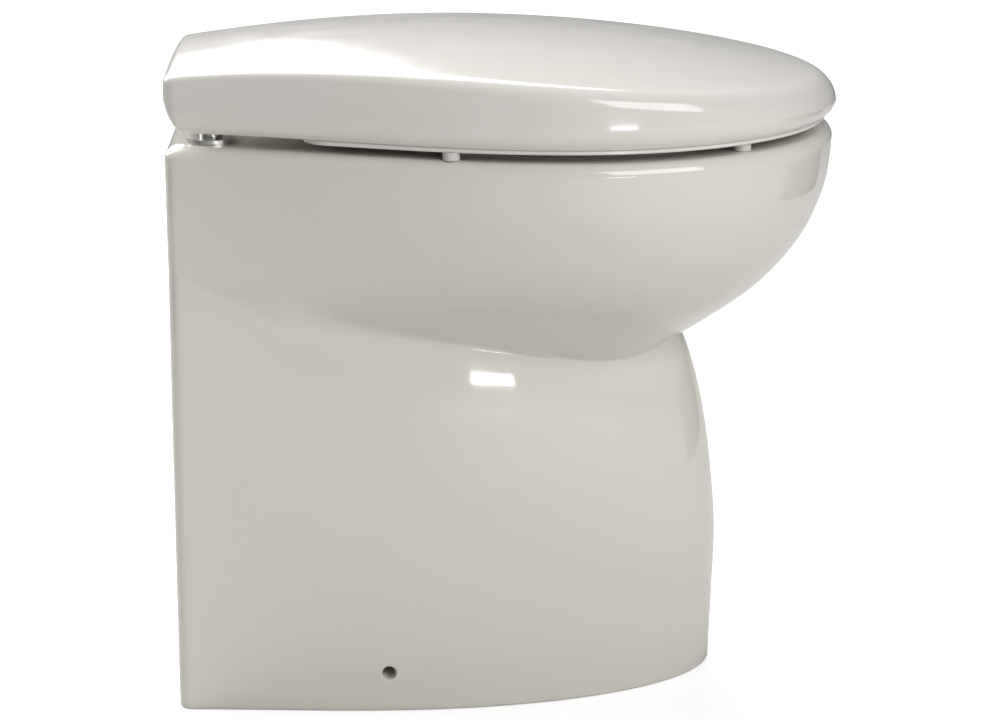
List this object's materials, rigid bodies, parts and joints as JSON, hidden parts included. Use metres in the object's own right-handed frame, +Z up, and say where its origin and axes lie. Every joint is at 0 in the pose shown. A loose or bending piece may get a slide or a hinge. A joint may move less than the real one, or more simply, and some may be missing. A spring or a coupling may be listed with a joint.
{
  "type": "electric marine toilet",
  "caption": "Compact electric marine toilet: glazed skirted bowl with hinged seat and domed lid, macerator and rinse pumps in the hollow behind the bowl.",
  "frame": {"origin": "on the floor, midway between the tip of the lid and the flat back of the china", "axes": "+X is to the right for somebody who stands in front of the toilet and faces it; +Y points back to the wall; +Z is up"},
  "size_m": [0.3662, 0.4851, 0.484],
  "materials": {
    "vitreous_china": "glossy white glaze",
    "lid_plastic": "glossy white lacquer",
    "seat_plastic": "glossy white lacquer",
    "buffer_rubber": "soft, pale, satin",
    "hinge_chrome": "polished",
    "stainless_steel": "brushed",
    "black_rubber": "matt",
    "nut_plastic": "satin moulded nylon",
    "bracket_plastic": "satin moulded nylon",
    "pump_plastic": "grained moulded plastic",
    "cast_aluminium": "die cast, satin",
    "motor_enamel": "satin dark enamel",
    "magnet_ferrite": "ground, dull",
    "armature_iron": "laminated, oiled",
    "impeller_plastic": "satin moulded plastic",
    "valve_rubber": "soft, matt",
    "hose_plastic": "milky flexible hose",
    "pipe_plastic": "satin moulded plastic"
  },
  "bodies": {
    "base": {"china_bowl": "vitreous_china", "left_hinge_post": "hinge_chrome", "right_hinge_post": "hinge_chrome", "left_hinge_pin": "stainless_steel", "right_hinge_pin": "stainless_steel", "hinge_studs": "stainless_steel", "hinge_washers": "black_rubber", "hinge_wing_nuts": "nut_plastic", "left_floor_bracket": "bracket_plastic", "right_floor_bracket": "bracket_plastic", "outlet_sleeve": "black_rubber", "sleeve_clips": "stainless_steel", "macerator_inlet_housing": "pump_plastic", "fixed_cutter_plate": "stainless_steel", "macerator_pump_body": "pump_plastic", "shaft_seal": "black_rubber", "motor_adapter": "cast_aluminium", "tie_bolts": "stainless_steel", "motor_can": "motor_enamel", "motor_magnets": "magnet_ferrite", "motor_bearings": "stainless_steel", "motor_end_cap": "cast_aluminium", "motor_cradle": "stainless_steel", "rubber_feet": "black_rubber", "motor_terminal_box": "pump_plastic", "motor_strap": "stainless_steel", "cable_gland": "pump_plastic", "valve_housing": "pump_plastic", "non_return_valve": "valve_rubber", "discharge_elbow": "pipe_plastic", "rinse_pump_cover": "pump_plastic", "rinse_pump_head": "pump_plastic", "rinse_motor_can": "motor_enamel", "rinse_bearings": "stainless_steel", "rinse_suction_pipe": "pipe_plastic", "rim_inlet_elbow": "pipe_plastic", "rim_inlet_grommet": "black_rubber", "rinse_hose": "hose_plastic", "rinse_hose_clips": "stainless_steel", "rinse_pump_bracket": "stainless_steel"},
    "seat": {"seat_ring": "seat_plastic", "seat_buffers": "buffer_rubber"},
    "lid": {"lid_shell": "lid_plastic", "lid_buffers": "buffer_rubber"},
    "macerator_rotor": {"macerator_shaft": "stainless_steel", "rotating_cutter": "stainless_steel", "cutter_nut": "stainless_steel", "macerator_impeller": "impeller_plastic", "motor_armature": "armature_iron"},
    "rinse_rotor": {"rinse_shaft": "stainless_steel", "rinse_impeller": "black_rubber", "rinse_armature": "armature_iron"}
  },
  "joints": [
    {"name": "seat_hinge", "type": "hinge", "parent": "base", "child": "seat", "pos_m": [0, 0.234, 0.457], "axis": [-1, 0, 0], "range_deg": [0, 92]},
    {"name": "lid_hinge", "type": "hinge", "parent": "seat", "child": "lid", "pos_m": [0, 0.234, 0.457], "axis": [-1, 0, 0], "range_deg": [0, 93]},
    {"name": "macerator_spin", "type": "hinge", "parent": "base", "child": "macerator_rotor", "pos_m": [0, 0.15, 0.12], "axis": [0, 1, 0], "continuous": true},
    {"name": "rinse_spin", "type": "hinge", "parent": "base", "child": "rinse_rotor", "pos_m": [0.048, 0.15, 0.235], "axis": [0, 1, 0], "continuous": true}
  ]
}
